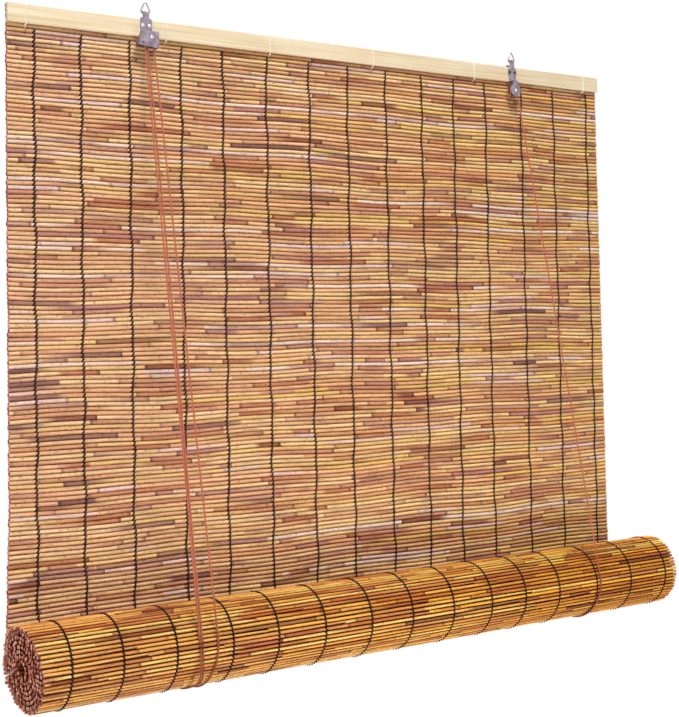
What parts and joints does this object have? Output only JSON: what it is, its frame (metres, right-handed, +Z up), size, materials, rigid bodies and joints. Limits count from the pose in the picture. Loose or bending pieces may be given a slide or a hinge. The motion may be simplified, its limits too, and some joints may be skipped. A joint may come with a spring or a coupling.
{
  "type": "reed roll-up blind",
  "caption": "Outdoor reed roll-up blind, half lowered: a stitched reed mat under a bamboo batten, rolled up at its foot, with a cord lock, a pulley and pull cords.",
  "frame": {"origin": "midway between the two hanging rings, on the line where their hooks bear, in the plane of the rings", "axes": "+X along the rail to the viewer's right, -Y out of the front, +Z up"},
  "size_m": [1.0486, 0.1226, 0.8496],
  "materials": {
    "reed": "matte",
    "bamboo": "satin",
    "nylon": "matte",
    "thread": "matte",
    "steel": "satin",
    "rivet": "bright",
    "cord": "matte",
    "wheel": "matte"
  },
  "bodies": {
    "headrail": {"front_batten": "bamboo", "rail_ties": "nylon", "reed_mat": "reed", "mat_threads": "thread", "left_plate": "steel", "right_plate": "steel", "lock_housing": "steel", "pulley_cheek": "steel", "plate_screws": "rivet", "sheave_pins": "rivet", "pawl_pin": "rivet", "left_rear_cord": "cord", "right_rear_cord": "cord", "left_front_cord": "cord", "right_front_cord": "cord", "pull_strand_a": "cord", "pull_strand_b": "cord", "hanger_cords": "cord", "left_cord_knot": "cord", "right_cord_knot": "cord"},
    "sling": {"sling_cords": "cord", "pull_hank": "cord", "pull_knot": "cord"},
    "roll": {"reed_roll": "reed", "bottom_rod": "bamboo"},
    "left_ring": {"left_hanging_ring": "steel"},
    "right_ring": {"right_hanging_ring": "steel"},
    "lock_wheel": {"lock_sheave": "wheel"},
    "pulley_wheel": {"pulley_sheave": "wheel"},
    "pawl": {"lock_pawl": "steel"}
  },
  "joints": [
    {"name": "roll_lift", "type": "slide", "parent": "headrail", "child": "sling", "axis": [0, 0, 1], "range_m": [0, 0.63774], "deforming": ["reed_mat", "mat_threads", "left_rear_cord", "right_rear_cord", "left_front_cord", "right_front_cord", "pull_strand_a", "pull_strand_b"]},
    {"name": "roll_turn", "type": "hinge", "parent": "sling", "child": "roll", "pos_m": [0, -0.04465, -0.79208], "axis": [1, 0, 0], "range_deg": [-720.5, 0]},
    {"name": "left_ring_swing", "type": "hinge", "parent": "headrail", "child": "left_ring", "pos_m": [-0.3145, 0, -0.01163], "axis": [1, 0, 0], "range_deg": [-90, 90]},
    {"name": "right_ring_swing", "type": "hinge", "parent": "headrail", "child": "right_ring", "pos_m": [0.3145, 0, -0.01163], "axis": [1, 0, 0], "range_deg": [-90, 90]},
    {"name": "lock_wheel_turn", "type": "hinge", "parent": "headrail", "child": "lock_wheel", "pos_m": [-0.3099, -0.00525, -0.04373], "axis": [0, 1, 0], "continuous": true},
    {"name": "pulley_wheel_turn", "type": "hinge", "parent": "headrail", "child": "pulley_wheel", "pos_m": [0.3145, -0.00525, -0.05693], "axis": [0, 1, 0], "continuous": true},
    {"name": "pawl_swing", "type": "hinge", "parent": "headrail", "child": "pawl", "pos_m": [-0.3227, -0.00525, -0.05143], "axis": [0, 1, 0], "range_deg": [0, 40]}
  ],
  "couplings": [
    {"joint": "roll_turn", "follows": "roll_lift", "rad_per_m": -19.704}
  ]
}
